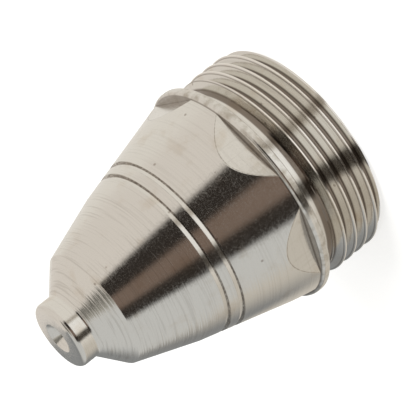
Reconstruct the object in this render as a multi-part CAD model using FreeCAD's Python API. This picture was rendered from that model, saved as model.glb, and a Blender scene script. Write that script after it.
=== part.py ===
"""Screw-in nozzle for a plasma cutting torch, one turned and milled copper part.

Frame: millimetres. The origin is the centre of the threaded end face, the part
stands on that face and +Z runs along its axis to the nose. The first wrench
flat faces +X.
"""
import FreeCAD, Part
import math
import os

# ---------------------------------------------------------------- dimensions
# Heights are measured from the threaded end face, radii from the axis.

LENGTH = 34.3            # threaded end face to nose face

# thread, M25 x 1.5, with its relief below the rim
THREAD_R = 12.5
PITCH = 1.5
THREAD_DEPTH = 0.92      # ISO external depth, 0.6134 x pitch
CREST_FLAT = PITCH / 8.0
END_CHAMFER = 0.75
RELIEF_R = 11.4          # just under the thread root
RELIEF_LOW = 6.45
RUN_OUT = 0.6            # height over which the thread loses its crest
FLANK_ANGLE = 30.0       # degrees, each flank against a cross section
THREAD_PHASE = 0.0       # degrees, turns the thread against the flats

# rim band
RIM_R = 13.125
RIM_LOW = 8.0
SHOULDER_Z = 9.6
RIM_EDGE = 0.3           # chamfer on both edges

# rear cone, which carries the flats and the two ring grooves
REAR_R = 12.80           # at the shoulder
KINK_Z, KINK_R = 22.42, 9.32
FLAT_COUNT = 6
ACROSS_FLATS = 23.8
GROOVE_LOW = (18.13, 19.71)
GROOVE_WIDTH = 0.58
GROOVE_DEPTH = (0.45, 0.50)

# front cone, steep cone and nose
FRONT_Z, FRONT_R = 29.42, 6.83
NECK_Z, NOSE_R = 32.15, 3.95
NOSE_EDGE = 0.60
MOUTH_R = 1.65           # countersink where the arc leaves
ORIFICE_R = 0.75

# inside, worked from the threaded end
SOCKET_R = 9.5           # takes the gas distributor ring
SOCKET_DEPTH = 8.0
SOCKET_CHAMFER = 0.5
CHAMBER_R = 7.5          # plenum round the electrode
CHAMBER_TOP = 17.0
CONE_HALF_ANGLE = 30.0

# cutting tools
CUT_PAST = 1.0           # how far a cutter runs past the face it opens
CREST_CLEAR = 0.15       # how far the thread cutter stands out over the crest
RIM_CLEAR = 0.05         # how far the last groove stops short of the rim
LEAD_TURNS = 1.5         # turns of the thread cutter below the end face
SEAM_TURN = 60.0         # degrees, keeps the blank's seam off the cutter's joints
LEAST_THREAD_CUT = 0.8   # share of the groove's volume that has to come away


# ------------------------------------------------------------------ helpers

def rounded_profile(corners):
    """Closed face in the XZ half plane from (r, z, corner radius) triples."""
    n = len(corners)
    starts, ends, arcs = [], [], []
    for i, (r, z, radius) in enumerate(corners):
        here = FreeCAD.Vector(r, 0, z)
        before = corners[i - 1]
        after = corners[(i + 1) % n]
        to_before = FreeCAD.Vector(before[0] - r, 0, before[1] - z).normalize()
        to_after = FreeCAD.Vector(after[0] - r, 0, after[1] - z).normalize()
        if radius <= 0:
            starts.append(here)
            ends.append(here)
            arcs.append(None)
            continue
        half = to_before.getAngle(to_after) / 2.0
        reach = radius / math.tan(half)
        enter = here + to_before * reach
        leave = here + to_after * reach
        bisector = (to_before + to_after).normalize()
        centre = here + bisector * (radius / math.sin(half))
        middle = centre + (here - centre).normalize() * radius
        starts.append(enter)
        ends.append(leave)
        arcs.append(Part.Arc(enter, middle, leave).toShape())
    edges = []
    for i in range(n):
        if arcs[i] is not None:
            edges.append(arcs[i])
        edges.append(Part.makeLine(ends[i], starts[(i + 1) % n]))
    return Part.Face(Part.Wire(edges))


def turned(corners):
    """Solid of revolution about Z of a rounded profile."""
    axis = FreeCAD.Vector(0, 0, 1)
    return rounded_profile(corners).revolve(FreeCAD.Vector(0, 0, 0), axis, 360)


def rear_cone_r(z):
    """Radius of the rear cone at height z."""
    slope = (REAR_R - KINK_R) / (KINK_Z - SHOULDER_Z)
    return REAR_R - slope * (z - SHOULDER_Z)


# ------------------------------------------------------------------ outside

def outer_blank():
    """Turned outside: thread blank, relief, rim, two cones, steep cone, nose."""
    grooves = []
    for low, depth in zip(GROOVE_LOW, GROOVE_DEPTH):
        high = low + GROOVE_WIDTH
        floor = rear_cone_r(low) - depth
        grooves += [
            (rear_cone_r(low), low, 0),
            (floor, low, 0),
            (floor, high, 0),
            (rear_cone_r(high), high, 0),
        ]
    return turned([
        (0, 0, 0),
        (THREAD_R - END_CHAMFER, 0, 0),
        (THREAD_R, END_CHAMFER, 0),
        (THREAD_R, RELIEF_LOW - RUN_OUT, 0),
        (RELIEF_R, RELIEF_LOW, 0),
        (RELIEF_R, RIM_LOW, 0),
        (RIM_R - RIM_EDGE, RIM_LOW, 0),
        (RIM_R, RIM_LOW + RIM_EDGE, 0),
        (RIM_R, SHOULDER_Z - RIM_EDGE, 0),
        (RIM_R - RIM_EDGE, SHOULDER_Z, 0),
        (REAR_R, SHOULDER_Z, 0),
    ] + grooves + [
        (KINK_R, KINK_Z, 0),
        (FRONT_R, FRONT_Z, 0),
        (NOSE_R, NECK_Z, 0),
        (NOSE_R, LENGTH, NOSE_EDGE),
        (0, LENGTH, 0),
    ])


def flat_cutter():
    """Everything outside the hexagon, from the shoulder up the rear cone."""
    height = KINK_Z - SHOULDER_Z
    outer_r = max(RIM_R, REAR_R) + CUT_PAST
    tall = Part.makeCylinder(outer_r, height, FreeCAD.Vector(0, 0, SHOULDER_Z))
    corner_r = ACROSS_FLATS / 2.0 / math.cos(math.pi / FLAT_COUNT)
    points = []
    for i in range(FLAT_COUNT + 1):
        angle = math.radians(360.0 / FLAT_COUNT * (i + 0.5))
        points.append(FreeCAD.Vector(corner_r * math.cos(angle),
                                     corner_r * math.sin(angle), SHOULDER_Z))
    hexagon = Part.Face(Part.makePolygon(points))
    return tall.cut(hexagon.extrude(FreeCAD.Vector(0, 0, height)))


def thread_groove():
    """Helical V groove that leaves the thread standing."""
    low = -LEAD_TURNS * PITCH
    high = RIM_LOW - PITCH / 2.0 - RIM_CLEAR
    root_r = THREAD_R - THREAD_DEPTH
    half_mouth = (PITCH - CREST_FLAT) / 2.0
    slope = math.tan(math.radians(FLANK_ANGLE))
    half_root = half_mouth - THREAD_DEPTH * slope
    half_over = half_mouth + CREST_CLEAR * slope
    section = Part.makePolygon([
        FreeCAD.Vector(root_r, 0, -half_root),
        FreeCAD.Vector(THREAD_R + CREST_CLEAR, 0, -half_over),
        FreeCAD.Vector(THREAD_R + CREST_CLEAR, 0, half_over),
        FreeCAD.Vector(root_r, 0, half_root),
        FreeCAD.Vector(root_r, 0, -half_root),
    ])
    helix = Part.makeHelix(PITCH, high - low, root_r)
    groove = Part.Wire(helix.Edges).makePipeShell([section], True, True)
    groove.translate(FreeCAD.Vector(0, 0, low))
    return groove


def groove_volume():
    """Volume of the thread groove between end chamfer and run-out."""
    mouth = PITCH - CREST_FLAT
    root = mouth - 2.0 * THREAD_DEPTH * math.tan(math.radians(FLANK_ANGLE))
    section = (mouth + root) / 2.0 * THREAD_DEPTH
    turns = (RELIEF_LOW - RUN_OUT - END_CHAMFER) / PITCH
    return section * 2.0 * math.pi * (THREAD_R - THREAD_DEPTH / 2.0) * turns


def threaded_blank():
    """Turned blank with its thread. A cut that takes nothing away is an error."""
    centre, axis = FreeCAD.Vector(0, 0, 0), FreeCAD.Vector(0, 0, 1)
    blank = outer_blank()
    blank.rotate(centre, axis, SEAM_TURN)
    body = blank.cut(thread_groove())
    if blank.Volume - body.Volume < LEAST_THREAD_CUT * groove_volume():
        raise RuntimeError("the thread was not cut")
    body.rotate(centre, axis, THREAD_PHASE)
    return body


# ------------------------------------------------------------------- inside

def inner_space():
    """Socket, plenum, converging cone, orifice and countersink as one solid."""
    taper = math.tan(math.radians(CONE_HALF_ANGLE))
    throat_z = CHAMBER_TOP + (CHAMBER_R - ORIFICE_R) / taper
    mouth_z = LENGTH - (MOUTH_R - ORIFICE_R)
    return turned([
        (0, -CUT_PAST, 0),
        (SOCKET_R + SOCKET_CHAMFER + CUT_PAST, -CUT_PAST, 0),
        (SOCKET_R, SOCKET_CHAMFER, 0),
        (SOCKET_R, SOCKET_DEPTH, 0),
        (CHAMBER_R, SOCKET_DEPTH, 0),
        (CHAMBER_R, CHAMBER_TOP, 0),
        (ORIFICE_R, throat_z, 0),
        (ORIFICE_R, mouth_z, 0),
        (MOUTH_R + CUT_PAST, LENGTH + CUT_PAST, 0),
        (0, LENGTH + CUT_PAST, 0),
    ])


def nozzle_body():
    return threaded_blank().cut(flat_cutter()).cut(inner_space())


def main():
    os.makedirs("parts", exist_ok=True)
    body = nozzle_body()
    if len(body.Solids) != 1 or not body.isValid():
        raise RuntimeError("nozzle_body is not one valid solid")
    body.Solids[0].exportStep("parts/nozzle_body.step")


main()
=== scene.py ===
"""Looks of the plasma torch nozzle: nickel-plated turned copper on a pale floor."""

import math

import bmesh
import bpy
from mathutils import Matrix, Vector

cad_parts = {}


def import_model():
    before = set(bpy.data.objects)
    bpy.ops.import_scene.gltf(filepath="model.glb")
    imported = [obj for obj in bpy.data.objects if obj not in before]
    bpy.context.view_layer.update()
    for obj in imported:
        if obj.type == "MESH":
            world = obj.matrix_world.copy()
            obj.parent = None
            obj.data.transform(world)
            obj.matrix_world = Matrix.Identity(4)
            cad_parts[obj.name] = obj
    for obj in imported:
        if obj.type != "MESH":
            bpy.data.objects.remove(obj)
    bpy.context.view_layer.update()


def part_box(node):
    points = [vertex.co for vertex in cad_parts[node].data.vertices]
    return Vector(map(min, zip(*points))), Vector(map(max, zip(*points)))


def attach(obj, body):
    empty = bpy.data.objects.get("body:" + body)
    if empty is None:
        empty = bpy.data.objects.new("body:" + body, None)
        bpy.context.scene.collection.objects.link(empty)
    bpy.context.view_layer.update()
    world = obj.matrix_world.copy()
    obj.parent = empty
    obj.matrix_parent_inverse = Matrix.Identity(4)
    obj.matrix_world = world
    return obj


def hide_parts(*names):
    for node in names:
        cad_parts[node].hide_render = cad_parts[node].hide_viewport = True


MM = 0.001

# camera, about the part's axis: azimuth 0 looks along +Y
CAMERA_AZIMUTH = 13.4
CAMERA_ELEVATION = 20.95
CAMERA_ROLL = 128.5          # turns the nose to the lower left
CAMERA_DISTANCE = 260.4
CAMERA_AIM = (0.84, 0.20, 12.80)
LENS = 216.35
CLIP_START = 0.01            # metres

# ------------------------------------------------------------- sizes, in mm
# Length and rim come from the frame. The others are this surface's own.

COLUMNS = 360                # one step round the axis for each degree
STEP = 360.0 / COLUMNS
ARC_STEPS = 8
FLANK_STEPS = 7
SPARE_TURNS = 2              # turns of the helix past both ends, pressed flat on the ends
MERGE = 0.002                # points nearer than this become one
SLIVER = 0.001
SHARP_ANGLE = 12.0           # degrees, edges steeper than this stay crisp

THREAD_R = 12.5
PITCH = 1.5
THREAD_DEPTH = 1.0
CREST_FLAT = PITCH / 10
FLANK_ANGLE = 30.0           # degrees, each flank against a cross section
END_CHAMFER = 0.75
THREAD_PHASE = 293.0         # degrees
CREST_END = 6.15             # where the last crest starts to run out
RELIEF_LEAD = (11.45, 6.75)
RELIEF_R = 11.35
RELIEF_LOW = 7.30

RIM_LOW = 8.5
RIM_LOW_EDGE = 0.3
RIM_TOP_EDGE = 0.45
SHOULDER_Z = 9.6
REAR_R = 12.80
KINK_R, KINK_Z = 9.32, 22.42
REAR_SLOPE = (REAR_R - KINK_R) / (KINK_Z - SHOULDER_Z)
HALF_ACROSS_FLATS = 11.925
FLAT_TURN = 60.0             # degrees from one wrench flat to the next
FLAT_ROWS = 10
GROOVE_LOW = (18.13, 19.71)
GROOVE_WIDTH = 0.58
GROOVE_DEPTH = (0.22, 0.25)

FRONT_R, FRONT_Z = 6.83, 29.42
FRONT_EDGE = 0.3
NOSE_R, NECK_Z = 3.85, 32.15
NECK_FILLET = 0.5
NOSE_EDGE = 0.65
MOUTH_R = 1.75
ORIFICE_R = 0.9

SOCKET_R = 9.5
SOCKET_DEPTH = 8.0
SOCKET_CHAMFER = 0.5
CHAMBER_R = 7.5
CHAMBER_TOP = 17.0
CONE_HALF_ANGLE = 30.0


def srgb(code):
    """Linear RGBA from an sRGB hex code."""
    channels = [int(code[i:i + 2], 16) / 255 for i in (1, 3, 5)]
    linear = [c / 12.92 if c <= 0.04045 else ((c + 0.055) / 1.055) ** 2.4 for c in channels]
    return (*linear, 1.0)


def add(tree, kind, inputs=(), output=0, **settings):
    """Adds a node and returns one output. Inputs are in order, or a dict by name or place."""
    node = tree.nodes.new(kind)
    for name, value in settings.items():
        setattr(node, name, value)
    pairs = inputs.items() if isinstance(inputs, dict) else enumerate(inputs)
    for key, value in pairs:
        if isinstance(value, bpy.types.NodeSocket):
            tree.links.new(value, node.inputs[key])
        else:
            node.inputs[key].default_value = value
    return node.outputs[output] if node.outputs else node


# names of the nodes that come back often, and their usual settings
MATH = "ShaderNodeMath"
VECTOR_MATH = "ShaderNodeVectorMath"
NOISE = "ShaderNodeTexNoise"
RANGE = "ShaderNodeMapRange"
SMOOTH = {"interpolation_type": "SMOOTHSTEP"}
SPLIT = "ShaderNodeSeparateXYZ"
MIX = "ShaderNodeMix"
COLOURS = {"data_type": "RGBA"}
FACTOR, FIRST, SECOND, RESULT = 0, 6, 7, 2   # places of the colour sockets on a Mix node


def band(tree, value, low, high, edge):
    """One between low and high, with soft edges."""
    rise = add(tree, RANGE, (value, low - edge, low + edge, 0.0, 1.0), **SMOOTH)
    fall = add(tree, RANGE, (value, high - edge, high + edge, 1.0, 0.0), **SMOOTH)
    return add(tree, MATH, (rise, fall), operation="MULTIPLY")


def empty_tree(owner):
    owner.use_nodes = True
    owner.node_tree.nodes.clear()
    return owner.node_tree


# ---------------------------------------------------------- the turned shape

def round_corner(before, corner, after, radius):
    """Points of the arc that rounds one corner of an outline."""
    here = Vector(corner)
    to_before = (Vector(before) - here).normalized()
    to_after = (Vector(after) - here).normalized()
    half = to_before.angle(to_after) / 2
    centre = here + (to_before + to_after).normalized() * (radius / math.sin(half))
    first = here + to_before * (radius / math.tan(half)) - centre
    last = here + to_after * (radius / math.tan(half)) - centre
    points = []
    for i in range(ARC_STEPS + 1):
        spoke = first.slerp(last, i / ARC_STEPS).normalized()
        points.append(tuple(centre + spoke * radius))
    return points


def rear_cone_r(z):
    return REAR_R - REAR_SLOPE * (z - SHOULDER_Z)


def thread_outline_r(z):
    """Radius of the turned blank from the end face to the relief."""
    if z < END_CHAMFER:
        return THREAD_R - END_CHAMFER + z
    if z < CREST_END:
        return THREAD_R
    lead_r, lead_z = RELIEF_LEAD
    if z < lead_z:
        return THREAD_R + (lead_r - THREAD_R) * (z - CREST_END) / (lead_z - CREST_END)
    return lead_r + (RELIEF_R - lead_r) * min(1.0, (z - lead_z) / (RELIEF_LOW - lead_z))


def thread_rows():
    """Heights of the rows in one pitch above a crest's middle, with the corners on rows."""
    half_crest = CREST_FLAT / 2
    flank = THREAD_DEPTH * math.tan(math.radians(FLANK_ANGLE))
    root = PITCH - CREST_FLAT - 2 * flank
    upper = half_crest + flank + root
    steps = range(FLANK_STEPS + 1)
    heights = [half_crest + flank * i / FLANK_STEPS for i in steps]
    heights += [upper + flank * i / FLANK_STEPS for i in steps]
    return heights


def thread_point(height, angle):
    """Point on the thread, where height runs along the helix and is cut off at both ends."""
    climb = PITCH * (angle - THREAD_PHASE) / 360
    z = min(max(height + climb, 0.0), RELIEF_LOW)
    from_crest = (z - climb) % PITCH
    from_crest = min(from_crest, PITCH - from_crest)
    sunk = max(0.0, from_crest - CREST_FLAT / 2) / math.tan(math.radians(FLANK_ANGLE))
    return min(thread_outline_r(z), THREAD_R - min(sunk, THREAD_DEPTH)), z


def flat_rows(angle):
    """Points of one column from the rim's top edge up to the end of the wrench flat."""
    off_normal = (angle + FLAT_TURN / 2) % FLAT_TURN - FLAT_TURN / 2
    flat_r = HALF_ACROSS_FLATS / math.cos(math.radians(off_normal))
    top = SHOULDER_Z + max(0.0, REAR_R - flat_r) / REAR_SLOPE
    r = min(REAR_R, flat_r)
    return [(r, SHOULDER_Z + (top - SHOULDER_Z) * i / FLAT_ROWS) for i in range(FLAT_ROWS + 1)]


def rim_outline(rim_r):
    """Relief, rim and its two rounded edges, up to the rear cone."""
    low_edge = round_corner((RELIEF_R, RIM_LOW), (rim_r, RIM_LOW), (rim_r, SHOULDER_Z), RIM_LOW_EDGE)
    last_turn = math.acos(1 - (rim_r - REAR_R) / RIM_TOP_EDGE)
    centre_z = SHOULDER_Z - RIM_TOP_EDGE * math.sin(last_turn)
    top_edge = []
    for i in range(ARC_STEPS + 1):
        turn = last_turn * i / ARC_STEPS
        r = rim_r - RIM_TOP_EDGE * (1 - math.cos(turn))
        top_edge.append((r, centre_z + RIM_TOP_EDGE * math.sin(turn)))
    return [(RELIEF_R, RIM_LOW)] + low_edge + top_edge


def nose_outline(length):
    """Grooves, both cones and the nose, after the wrench flats."""
    points = []
    for low, depth in zip(GROOVE_LOW, GROOVE_DEPTH):
        high = low + GROOVE_WIDTH
        floor_r = rear_cone_r(low) - depth
        points += [(rear_cone_r(low), low), (floor_r, low), (floor_r, high), (rear_cone_r(high), high)]
    kink, front = (KINK_R, KINK_Z), (FRONT_R, FRONT_Z)
    neck, tip = (NOSE_R, NECK_Z), (NOSE_R, length)
    points.append(kink)
    points += round_corner(kink, front, neck, FRONT_EDGE)
    points += round_corner(front, neck, tip, NECK_FILLET)
    points += round_corner(neck, tip, (0, length), NOSE_EDGE)
    return points


def inside_outline(length):
    """From the mouth through the orifice and plenum back to the end face."""
    throat = CHAMBER_TOP + (CHAMBER_R - ORIFICE_R) / math.tan(math.radians(CONE_HALF_ANGLE))
    return [(MOUTH_R, length), (ORIFICE_R, length - (MOUTH_R - ORIFICE_R)), (ORIFICE_R, throat),
            (CHAMBER_R, CHAMBER_TOP), (CHAMBER_R, SOCKET_DEPTH), (SOCKET_R, SOCKET_DEPTH),
            (SOCKET_R, SOCKET_CHAMFER), (SOCKET_R + SOCKET_CHAMFER, 0)]


def nozzle_shell(length, rim_r):
    """Closed mesh of the whole nozzle, one column for each degree."""
    heights = thread_rows()
    turns = range(-SPARE_TURNS, math.ceil(RELIEF_LOW / PITCH) + SPARE_TURNS)
    helix = [turn * PITCH + height for turn in turns for height in heights]
    after = rim_outline(rim_r)
    nose = nose_outline(length)
    inside = inside_outline(length)
    vertices = []
    for column in range(COLUMNS):
        angle = column * STEP
        points = [thread_point(height, angle) for height in helix]
        points += after + flat_rows(angle) + nose + inside
        turn = math.radians(angle)
        vertices += [(r * math.cos(turn) * MM, r * math.sin(turn) * MM, z * MM) for r, z in points]
    rows = len(points)
    # a helix row meets the row one pitch higher when it has gone once round
    shift = len(heights)
    faces = []
    for column in range(COLUMNS):
        closing = column == COLUMNS - 1
        here, there = column * rows, ((column + 1) % COLUMNS) * rows
        for row in range(rows):
            above = (row + 1) % rows
            if closing and row < len(helix) and above < len(helix):
                low = min(row + shift, len(helix) - 1)
                high = min(above + shift, len(helix) - 1)
            else:
                low, high = row, above
            faces.append((here + row, there + low, there + high, here + above))
    mesh = bpy.data.meshes.new("nozzle_shell")
    mesh.from_pydata(vertices, [], faces)
    return mesh


def tidy_mesh(mesh):
    """Merges the points that fall together and smooths all but the crisp edges."""
    work = bmesh.new()
    work.from_mesh(mesh)
    bmesh.ops.remove_doubles(work, verts=work.verts, dist=MERGE * MM)
    bmesh.ops.dissolve_degenerate(work, edges=work.edges, dist=SLIVER * MM)
    bmesh.ops.recalc_face_normals(work, faces=work.faces)
    work.to_mesh(mesh)
    work.free()
    mesh.shade_smooth()
    mesh.set_sharp_from_angle(angle=math.radians(SHARP_ANGLE))


def nozzle_piece():
    """Finely turned skin that stands for the solid body."""
    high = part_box("nozzle_body")[1]
    mesh = nozzle_shell(high[2] / MM, high[0] / MM)
    tidy_mesh(mesh)
    piece = bpy.data.objects.new("plated_nozzle", mesh)
    bpy.context.scene.collection.objects.link(piece)
    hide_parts("nozzle_body")
    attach(piece, "root")
    return piece


# ------------------------------------------------------------------- studio

# Azimuths below are in degrees round the part from the camera's side, positive
# to the camera's left when the part is seen upright. Heights and fronts are the
# upward and forward parts of a direction of length one.

TENT = ("#e4ded7", "#d2d3d2")            # wall colour, right and left
TENT_TURN = (-10.0, 60.0)                # where it goes from one to the other
BACK_WALL = (138.0, 196.0, 14.0)         # from, to and soft edge
GAP = (-29.0, 50.0, 4.0)                 # the gap that the camera looks through
GAP_TOP = (0.55, 0.75)                   # heights over which it closes
GAP_GLOW = (2.0, 28.0, 5.0)              # browner part of what is behind it
UPPER_GAP = (-50.0, 32.0, 7.0)           # its paler end overhead, turned to the right
UPPER = ("#7a7872", "#aaa79e")           # its colour, right and left
UPPER_LOW = (0.70, 0.85)
UPPER_FRONT = (0.10, 0.20)
UPPER_TURN = (-20.0, 34.0)

KEY_PLACE = (260, -120, 330)             # mm
KEY_AIM = (0, 0, 15)
KEY_SIZE = 220
KEY_WATTS = 1.2

FLOOR_HALF = 1500                        # mm
FLOOR = ("#ece8e1", "#d2ccc2")           # what the metal sees, in front and to the left
FLOOR_TURN = (45.0, 90.0)                # where it goes from one to the other
FLOOR_BANDS = (                          # from, to, soft edge and colour
    (-14.0, 22.0, 5.0, "#fbfaf7"),
    (-26.0, -15.0, 4.0, "#b3aca2"),
    (29.0, 52.0, 5.0, "#4c4741"),
)
FAR = (0.040, 0.085)                     # metres, over which the floor's far part begins
FAR_TURN = (100.0, 150.0)
NEAR_FLOOR = 8.0                         # mm, widens the bearing of a near point
FLOOR_LIFT = 0.62                        # glow that brings the floor to white


def around_camera(tree, direction):
    """Front part of a direction, and its azimuth in degrees, 0 towards the camera."""
    turned = add(tree, "ShaderNodeVectorRotate",
                 {"Vector": direction, "Angle": -math.radians(CAMERA_AZIMUTH)}, rotation_type="Z_AXIS")
    x = add(tree, SPLIT, (turned,), 0)
    y = add(tree, SPLIT, (turned,), 1)
    left = add(tree, MATH, (x, -1.0), operation="MULTIPLY")
    front = add(tree, MATH, (y, -1.0), operation="MULTIPLY")
    radians = add(tree, MATH, (left, front), operation="ARCTAN2")
    return front, add(tree, MATH, (radians,), operation="DEGREES")


def world_light():
    """White for the camera, and a pale tent with one dark gap in reflections."""
    world = bpy.data.worlds.new("studio")
    bpy.context.scene.world = world
    tree = empty_tree(world)
    direction = add(tree, "ShaderNodeTexCoord", output="Generated")
    front, azimuth = around_camera(tree, direction)
    height = add(tree, SPLIT, (direction,), 2)

    # tent walls
    right, left = TENT
    turn = add(tree, RANGE, (azimuth, *TENT_TURN, 0.0, 1.0), **SMOOTH)
    tent = add(tree, MIX, {FACTOR: turn, FIRST: srgb(right), SECOND: srgb(left)}, RESULT, **COLOURS)
    wall = band(tree, azimuth, *BACK_WALL)
    tent = add(tree, MIX, {FACTOR: wall, FIRST: tent, SECOND: srgb("#8f9192")}, RESULT, **COLOURS)

    # the dark gap, and what glows in it
    glow = band(tree, azimuth, *GAP_GLOW)
    dark = add(tree, MIX, {FACTOR: glow, FIRST: srgb("#322d29"), SECOND: srgb("#7c6b60")}, RESULT, **COLOURS)
    open_below = add(tree, RANGE, (height, *GAP_TOP, 1.0, 0.0), **SMOOTH)
    gap = add(tree, MATH, (band(tree, azimuth, *GAP), open_below), operation="MULTIPLY")
    tent = add(tree, MIX, {FACTOR: gap, FIRST: tent, SECOND: dark}, RESULT, **COLOURS)

    # the gap's paler upper end
    high = add(tree, RANGE, (height, *UPPER_LOW, 0.0, 1.0), **SMOOTH)
    ahead = add(tree, RANGE, (front, *UPPER_FRONT, 0.0, 1.0), **SMOOTH)
    upper = add(tree, MATH, (band(tree, azimuth, *UPPER_GAP), high), operation="MULTIPLY")
    upper = add(tree, MATH, (upper, ahead), operation="MULTIPLY")
    right, left = UPPER
    turn = add(tree, RANGE, (azimuth, *UPPER_TURN, 0.0, 1.0), **SMOOTH)
    paler = add(tree, MIX, {FACTOR: turn, FIRST: srgb(right), SECOND: srgb(left)}, RESULT, **COLOURS)
    tent = add(tree, MIX, {FACTOR: upper, FIRST: tent, SECOND: paler}, RESULT, **COLOURS)

    glossy = add(tree, "ShaderNodeLightPath", output="Is Glossy Ray")
    seen = add(tree, "ShaderNodeLightPath", output="Is Camera Ray")
    colour = add(tree, MIX, {FACTOR: glossy, FIRST: srgb("#d9d8d6"), SECOND: tent}, RESULT, **COLOURS)
    colour = add(tree, MIX, {FACTOR: seen, FIRST: colour, SECOND: (1, 1, 1, 1)}, RESULT, **COLOURS)
    background = add(tree, "ShaderNodeBackground", {"Color": colour, "Strength": 1.0})
    add(tree, "ShaderNodeOutputWorld", (background,))


def key_light():
    """Soft square lamp aimed at the part. It doesn't show in the metal."""
    data = bpy.data.lights.new("key", "AREA")
    data.size = KEY_SIZE * MM
    data.energy = KEY_WATTS
    lamp = bpy.data.objects.new("key", data)
    bpy.context.scene.collection.objects.link(lamp)
    lamp.location = Vector(KEY_PLACE) * MM
    lamp.visible_glossy = False
    aim = Vector(KEY_AIM) * MM - lamp.location
    lamp.rotation_euler = aim.to_track_quat("-Z", "Y").to_euler()


def floor():
    """Pale floor that reads white, keeps the shadow and has zones in reflections."""
    size = FLOOR_HALF * MM
    mesh = bpy.data.meshes.new("floor")
    corners = [(-size, -size, 0), (size, -size, 0), (size, size, 0), (-size, size, 0)]
    mesh.from_pydata(corners, [], [(0, 1, 2, 3)])
    plane = bpy.data.objects.new("floor", mesh)
    bpy.context.scene.collection.objects.link(plane)
    material = bpy.data.materials.new("pale_floor")
    tree = empty_tree(material)
    place = add(tree, "ShaderNodeTexCoord", output="Object")
    away = add(tree, VECTOR_MATH, (place,), "Value", operation="LENGTH")
    azimuth = around_camera(tree, place)[1]
    # a point near the part is seen from its surface, so its bearing is wider than its azimuth
    widen = add(tree, MATH, (NEAR_FLOOR * MM, away), operation="DIVIDE")
    widen = add(tree, MATH, (widen, 1.0), operation="ADD")
    azimuth = add(tree, MATH, (azimuth, widen), operation="MULTIPLY")

    # how bright the metal sees the floor
    ahead, left = FLOOR
    turn = add(tree, RANGE, (azimuth, *FLOOR_TURN, 0.0, 1.0), **SMOOTH)
    level = add(tree, MIX, {FACTOR: turn, FIRST: srgb(ahead), SECOND: srgb(left)}, RESULT, **COLOURS)
    for low, high, edge, code in FLOOR_BANDS:
        strip = band(tree, azimuth, low, high, edge)
        level = add(tree, MIX, {FACTOR: strip, FIRST: level, SECOND: srgb(code)}, RESULT, **COLOURS)
    far = add(tree, RANGE, (away, *FAR, 0.0, 1.0), **SMOOTH)
    behind = add(tree, RANGE, (azimuth, *FAR_TURN, 0.0, 1.0), **SMOOTH)
    behind = add(tree, MATH, (behind, far), operation="MULTIPLY")
    level = add(tree, MIX, {FACTOR: behind, FIRST: level, SECOND: srgb("#8c8d8d")}, RESULT, **COLOURS)
    in_metal = add(tree, "ShaderNodeEmission", {"Color": level, "Strength": 1.0})

    # what everything else sees: matt, and lifted to white for the camera
    seen = add(tree, "ShaderNodeLightPath", output="Is Camera Ray")
    through = add(tree, "ShaderNodeLightPath", output="Is Transmission Ray")
    seen = add(tree, MATH, (seen, through), operation="MAXIMUM")
    matt = add(tree, "ShaderNodeBsdfDiffuse", {"Color": srgb("#c8c8c6")})
    lift = add(tree, MATH, (seen, FLOOR_LIFT), operation="MULTIPLY")
    glow = add(tree, "ShaderNodeEmission", {"Color": (1, 1, 1, 1), "Strength": lift})
    both = add(tree, "ShaderNodeAddShader", (matt, glow))

    glossy = add(tree, "ShaderNodeLightPath", output="Is Glossy Ray")
    surface = add(tree, "ShaderNodeMixShader", (glossy, both, in_metal))
    add(tree, "ShaderNodeOutputMaterial", (surface,))
    mesh.materials.append(material)


def camera():
    azimuth = math.radians(CAMERA_AZIMUTH)
    elevation = math.radians(CAMERA_ELEVATION)
    back = Vector((math.sin(azimuth) * math.cos(elevation),
                   -math.cos(azimuth) * math.cos(elevation),
                   math.sin(elevation)))
    right = Vector((0, 0, 1)).cross(back).normalized()
    up = back.cross(right)
    upright = Matrix((right, up, back)).transposed()
    turned = upright @ Matrix.Rotation(-math.radians(CAMERA_ROLL), 3, "Z")
    data = bpy.data.cameras.new("camera")
    data.lens = LENS
    data.clip_start = CLIP_START
    view = bpy.data.objects.new("camera", data)
    bpy.context.scene.collection.objects.link(view)
    place = (Vector(CAMERA_AIM) + back * CAMERA_DISTANCE) * MM
    view.matrix_world = Matrix.Translation(place) @ turned.to_4x4()
    bpy.context.scene.camera = view


# ---------------------------------------------------------------- materials

# Sizes of the patterns, in mm. Shares run from 0 to 1.

FEED = 0.17              # between turning lines, drawn coarser than the real feed to show
LINE_BREAKS = 1.1        # how often a turning line changes on its way round, no length
LINE_DEPTH = 0.16        # share of the relief that every turned surface has
LINE_RELIEF = 0.03
SPECK = 0.22             # mottling left by handling
SPECK_RELIEF = 0.006
STAIN = 2.6              # finger stains
PIT = 3.0                # between small pits
WEAR = 0.9               # worn patches on the rim
MILL_MARK = 0.3          # between the cutter's marks on the flats
MILL_RISE = 4.0          # length of those marks up the part
SOFT_EDGE = 0.02         # rounding of every crisp edge
LIP_EDGE = 0.03          # how soft the edges of the painted shade and dirt are
FLAT_TOP = 13.2          # height where the wrench flats end
OUTLINE_TOP = 13.6
SKIN = 1.0               # what is nearer than this to the socket is inside


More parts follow.
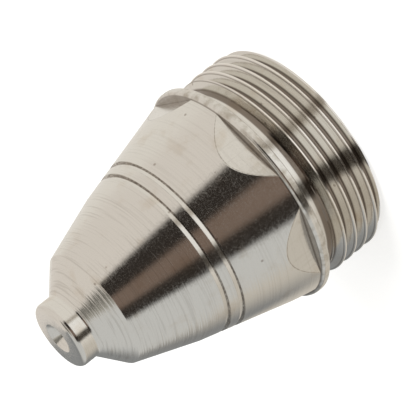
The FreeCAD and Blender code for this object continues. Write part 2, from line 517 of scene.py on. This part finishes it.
def nickel_plated_copper():
    """Copper turned with a fine feed, then nickel plated.

    The plate takes on the turning lines, so it is bright but not a mirror. It is
    warm grey, with tan stains where it was handled, painted shade in the thread's
    root and under its crests, and a painted highlight along the crests.
    """
    material = bpy.data.materials.new("nickel_plated_copper")
    tree = empty_tree(material)
    metres = add(tree, "ShaderNodeTexCoord", output="Object")
    place = add(tree, VECTOR_MATH, {0: metres, "Scale": 1 / MM}, operation="SCALE")
    x = add(tree, SPLIT, (place,), 0)
    y = add(tree, SPLIT, (place,), 1)
    z = add(tree, SPLIT, (place,), 2)
    flat_place = add(tree, "ShaderNodeCombineXYZ", (x, y, 0.0))
    radius = add(tree, VECTOR_MATH, {0: flat_place}, "Value", operation="LENGTH")

    # zones of the surface
    steep = band(tree, z, FRONT_Z, NECK_Z, 0.1)
    front_cone = band(tree, z, KINK_Z, FRONT_Z, 0.2)
    rear_cone = band(tree, z, GROOVE_LOW[1] + GROOVE_WIDTH, KINK_Z, 0.2)
    rim = band(tree, z, RIM_LOW, SHOULDER_Z, 0.05)
    threaded = band(tree, z, -1.0, RELIEF_LOW, 0.1)

    # turning lines: uneven rings that fade in and out on their way round
    around = add(tree, VECTOR_MATH, (flat_place,), operation="NORMALIZE")
    around = add(tree, VECTOR_MATH, {0: around, "Scale": LINE_BREAKS}, operation="SCALE")
    up = add(tree, MATH, (z, 1 / FEED), operation="MULTIPLY")
    up = add(tree, "ShaderNodeCombineXYZ", (0.0, 0.0, up))
    ringed_place = add(tree, VECTOR_MATH, (around, up), operation="ADD")
    lines = add(tree, NOISE, {"Vector": ringed_place, "Scale": 1.0, "Detail": 2.0})
    depth = LINE_DEPTH
    for zone, more in ((steep, 0.80), (front_cone, 0.55), (rear_cone, 0.20)):
        depth = add(tree, MATH, (zone, more, depth), operation="MULTIPLY_ADD")
    # the turning lines darken the colour too: their grain, with painted shade in their fine grooves
    streak_shade_depth = add(tree, MATH, (depth, 0.6, 0.2), operation="MULTIPLY_ADD")
    line_streak_shade = add(tree, RANGE, (lines, 0.50, 0.66, 0.0, 0.28), **SMOOTH)
    line_streak_shade = add(tree, MATH, (line_streak_shade, streak_shade_depth), operation="MULTIPLY")

    # mottling, stains, pits and the rim's wear
    speck = add(tree, NOISE, {"Vector": place, "Scale": 1 / SPECK, "Detail": 3.0})
    patchy = add(tree, RANGE, (speck, 0.38, 0.60, 0.35, 1.0), **SMOOTH)
    stain = add(tree, NOISE, {"Vector": place, "Scale": 1 / STAIN, "Detail": 5.0})
    stained = add(tree, RANGE, (stain, 0.54, 0.74, 0.0, 0.28), **SMOOTH)
    pit = add(tree, "ShaderNodeTexVoronoi", {"Vector": place, "Scale": 1 / PIT})
    pitted = add(tree, RANGE, (pit, 0.03, 0.07, 0.45, 0.0), **SMOOTH)
    wear = add(tree, NOISE, {"Vector": place, "Scale": 1 / WEAR, "Detail": 4.0})
    worn = add(tree, RANGE, (wear, 0.38, 0.74, 0.0, 0.50), **SMOOTH)
    worn = add(tree, MATH, (rim, worn), operation="MULTIPLY")

    # thread: painted shade in its root and under its crest, and a painted highlight along the crest
    root_r = THREAD_R - THREAD_DEPTH
    outside = add(tree, MATH, (radius, SOCKET_R + SKIN), operation="GREATER_THAN")
    # painted shade at the bottom of the thread
    root = add(tree, RANGE, (radius, root_r, root_r + 0.25, 0.8, 0.0), **SMOOTH)
    root = add(tree, MATH, (root, threaded), operation="MULTIPLY")
    root = add(tree, MATH, (root, outside), operation="MULTIPLY")
    # painted shade on the downward flank just under the crest
    under_crest_shade = band(tree, radius, THREAD_R - 0.22, THREAD_R - 0.12, LIP_EDGE)
    under_crest_shade = add(tree, MATH, (under_crest_shade, threaded), operation="MULTIPLY")
    under_crest_shade = add(tree, MATH, (under_crest_shade, 0.5), operation="MULTIPLY")
    shade_and_dirt = add(tree, MATH, (root, under_crest_shade), operation="MAXIMUM")
    # painted highlight where the crest's edge catches the light
    crest = add(tree, RANGE, (radius, THREAD_R - 0.08, THREAD_R - 0.02, 0.0, 1.0), **SMOOTH)
    crest = add(tree, MATH, (crest, threaded), operation="MULTIPLY")
    crest = add(tree, MATH, (crest, 0.7), operation="MULTIPLY")

    # painted shade with some dirt in the corners of both ring grooves, and painted shade in the crease at
    # the shoulder
    for low in GROOVE_LOW:
        high = low + GROOVE_WIDTH
        for bottom, top, share in ((low - 0.02, low + 0.12, 0.62), (high - 0.06, high, 0.40)):
            lip = band(tree, z, bottom, top, LIP_EDGE)
            lip = add(tree, MATH, (lip, patchy), operation="MULTIPLY")
            lip = add(tree, MATH, (lip, share), operation="MULTIPLY")
            shade_and_dirt = add(tree, MATH, (shade_and_dirt, lip), operation="MAXIMUM")
    shoulder = band(tree, z, SHOULDER_Z - 0.02, SHOULDER_Z + 0.10, 0.04)
    shoulder = add(tree, MATH, (shoulder, 0.6), operation="MULTIPLY")
    shade_and_dirt = add(tree, MATH, (shade_and_dirt, shoulder), operation="MAXIMUM")

    # the wrench flats lie inside the cone they are cut from, and have a thin dark outline
    cone_r = add(tree, MATH, (z, -REAR_SLOPE, rear_cone_r(0.0)), operation="MULTIPLY_ADD")
    inward = add(tree, MATH, (cone_r, radius), operation="SUBTRACT")
    milled = add(tree, RANGE, (inward, 0.015, 0.05, 0.0, 1.0), **SMOOTH)
    milled = add(tree, MATH, (milled, band(tree, z, SHOULDER_Z, FLAT_TOP, 0.05)), operation="MULTIPLY")
    outline = band(tree, inward, 0.008, 0.045, 0.006)
    outline = add(tree, MATH, (outline, band(tree, z, SHOULDER_Z, OUTLINE_TOP, 0.05)), operation="MULTIPLY")
    outline = add(tree, MATH, (outline, patchy), operation="MULTIPLY")
    outline = add(tree, MATH, (outline, 0.45), operation="MULTIPLY")
    marks = (1 / MILL_MARK, 1 / MILL_MARK, 1 / MILL_RISE)
    marks = add(tree, VECTOR_MATH, (place, marks), operation="MULTIPLY")
    cutter = add(tree, NOISE, {"Vector": marks, "Scale": 1.0, "Detail": 2.0})
    cutter = add(tree, RANGE, (cutter, 0.5, 0.7, 0.0, 0.12), **SMOOTH)
    cutter = add(tree, MATH, (milled, cutter), operation="MULTIPLY")

    # each layer lies over the ones before it
    colour = srgb("#e3e0da")
    layers = (
        (stained, "#c4b299"),
        # turning lines, with painted shade in their grooves
        (line_streak_shade, "#8b8377"),
        (pitted, "#6b5540"),
        (cutter, "#b9b2a6"),
        (outline, "#6f6252"),
        (worn, "#8d8069"),
        # painted highlight along the thread's crest
        (crest, "#f1ece5"),
        # painted shade in the thread and ring grooves, with some dirt
        (shade_and_dirt, "#57432f"),
    )
    for share, code in layers:
        colour = add(tree, MIX, {FACTOR: share, FIRST: colour, SECOND: srgb(code)}, RESULT, **COLOURS)

    # roughness: bright plate, a little duller on the rim and where it is milled
    rough = add(tree, RANGE, (speck, 0.35, 0.7, 0.11, 0.20), **SMOOTH)
    for zone, more in ((rim, 0.05), (milled, 0.05)):
        rough = add(tree, MATH, (zone, more, rough), operation="MULTIPLY_ADD")

    # relief: soft edges, turning lines, then fine mottling
    soft = add(tree, "ShaderNodeBevel", {"Radius": SOFT_EDGE * MM}, samples=4)
    ringed = add(tree, "ShaderNodeBump", {"Strength": depth, "Distance": LINE_RELIEF * MM,
                                          "Height": lines, "Normal": soft})
    mottled = add(tree, "ShaderNodeBump", {"Strength": 0.20, "Distance": SPECK_RELIEF * MM,
                                           "Height": speck, "Normal": ringed})
    shader = add(tree, "ShaderNodeBsdfPrincipled", {
        "Base Color": colour, "Metallic": 1.0, "Roughness": rough, "Normal": mottled})
    add(tree, "ShaderNodeOutputMaterial", (shader,))
    return material


def main():
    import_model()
    bpy.context.scene.view_settings.view_transform = "Standard"
    world_light()
    key_light()
    floor()
    camera()
    piece = nozzle_piece()
    piece.data.materials.append(nickel_plated_copper())


main()
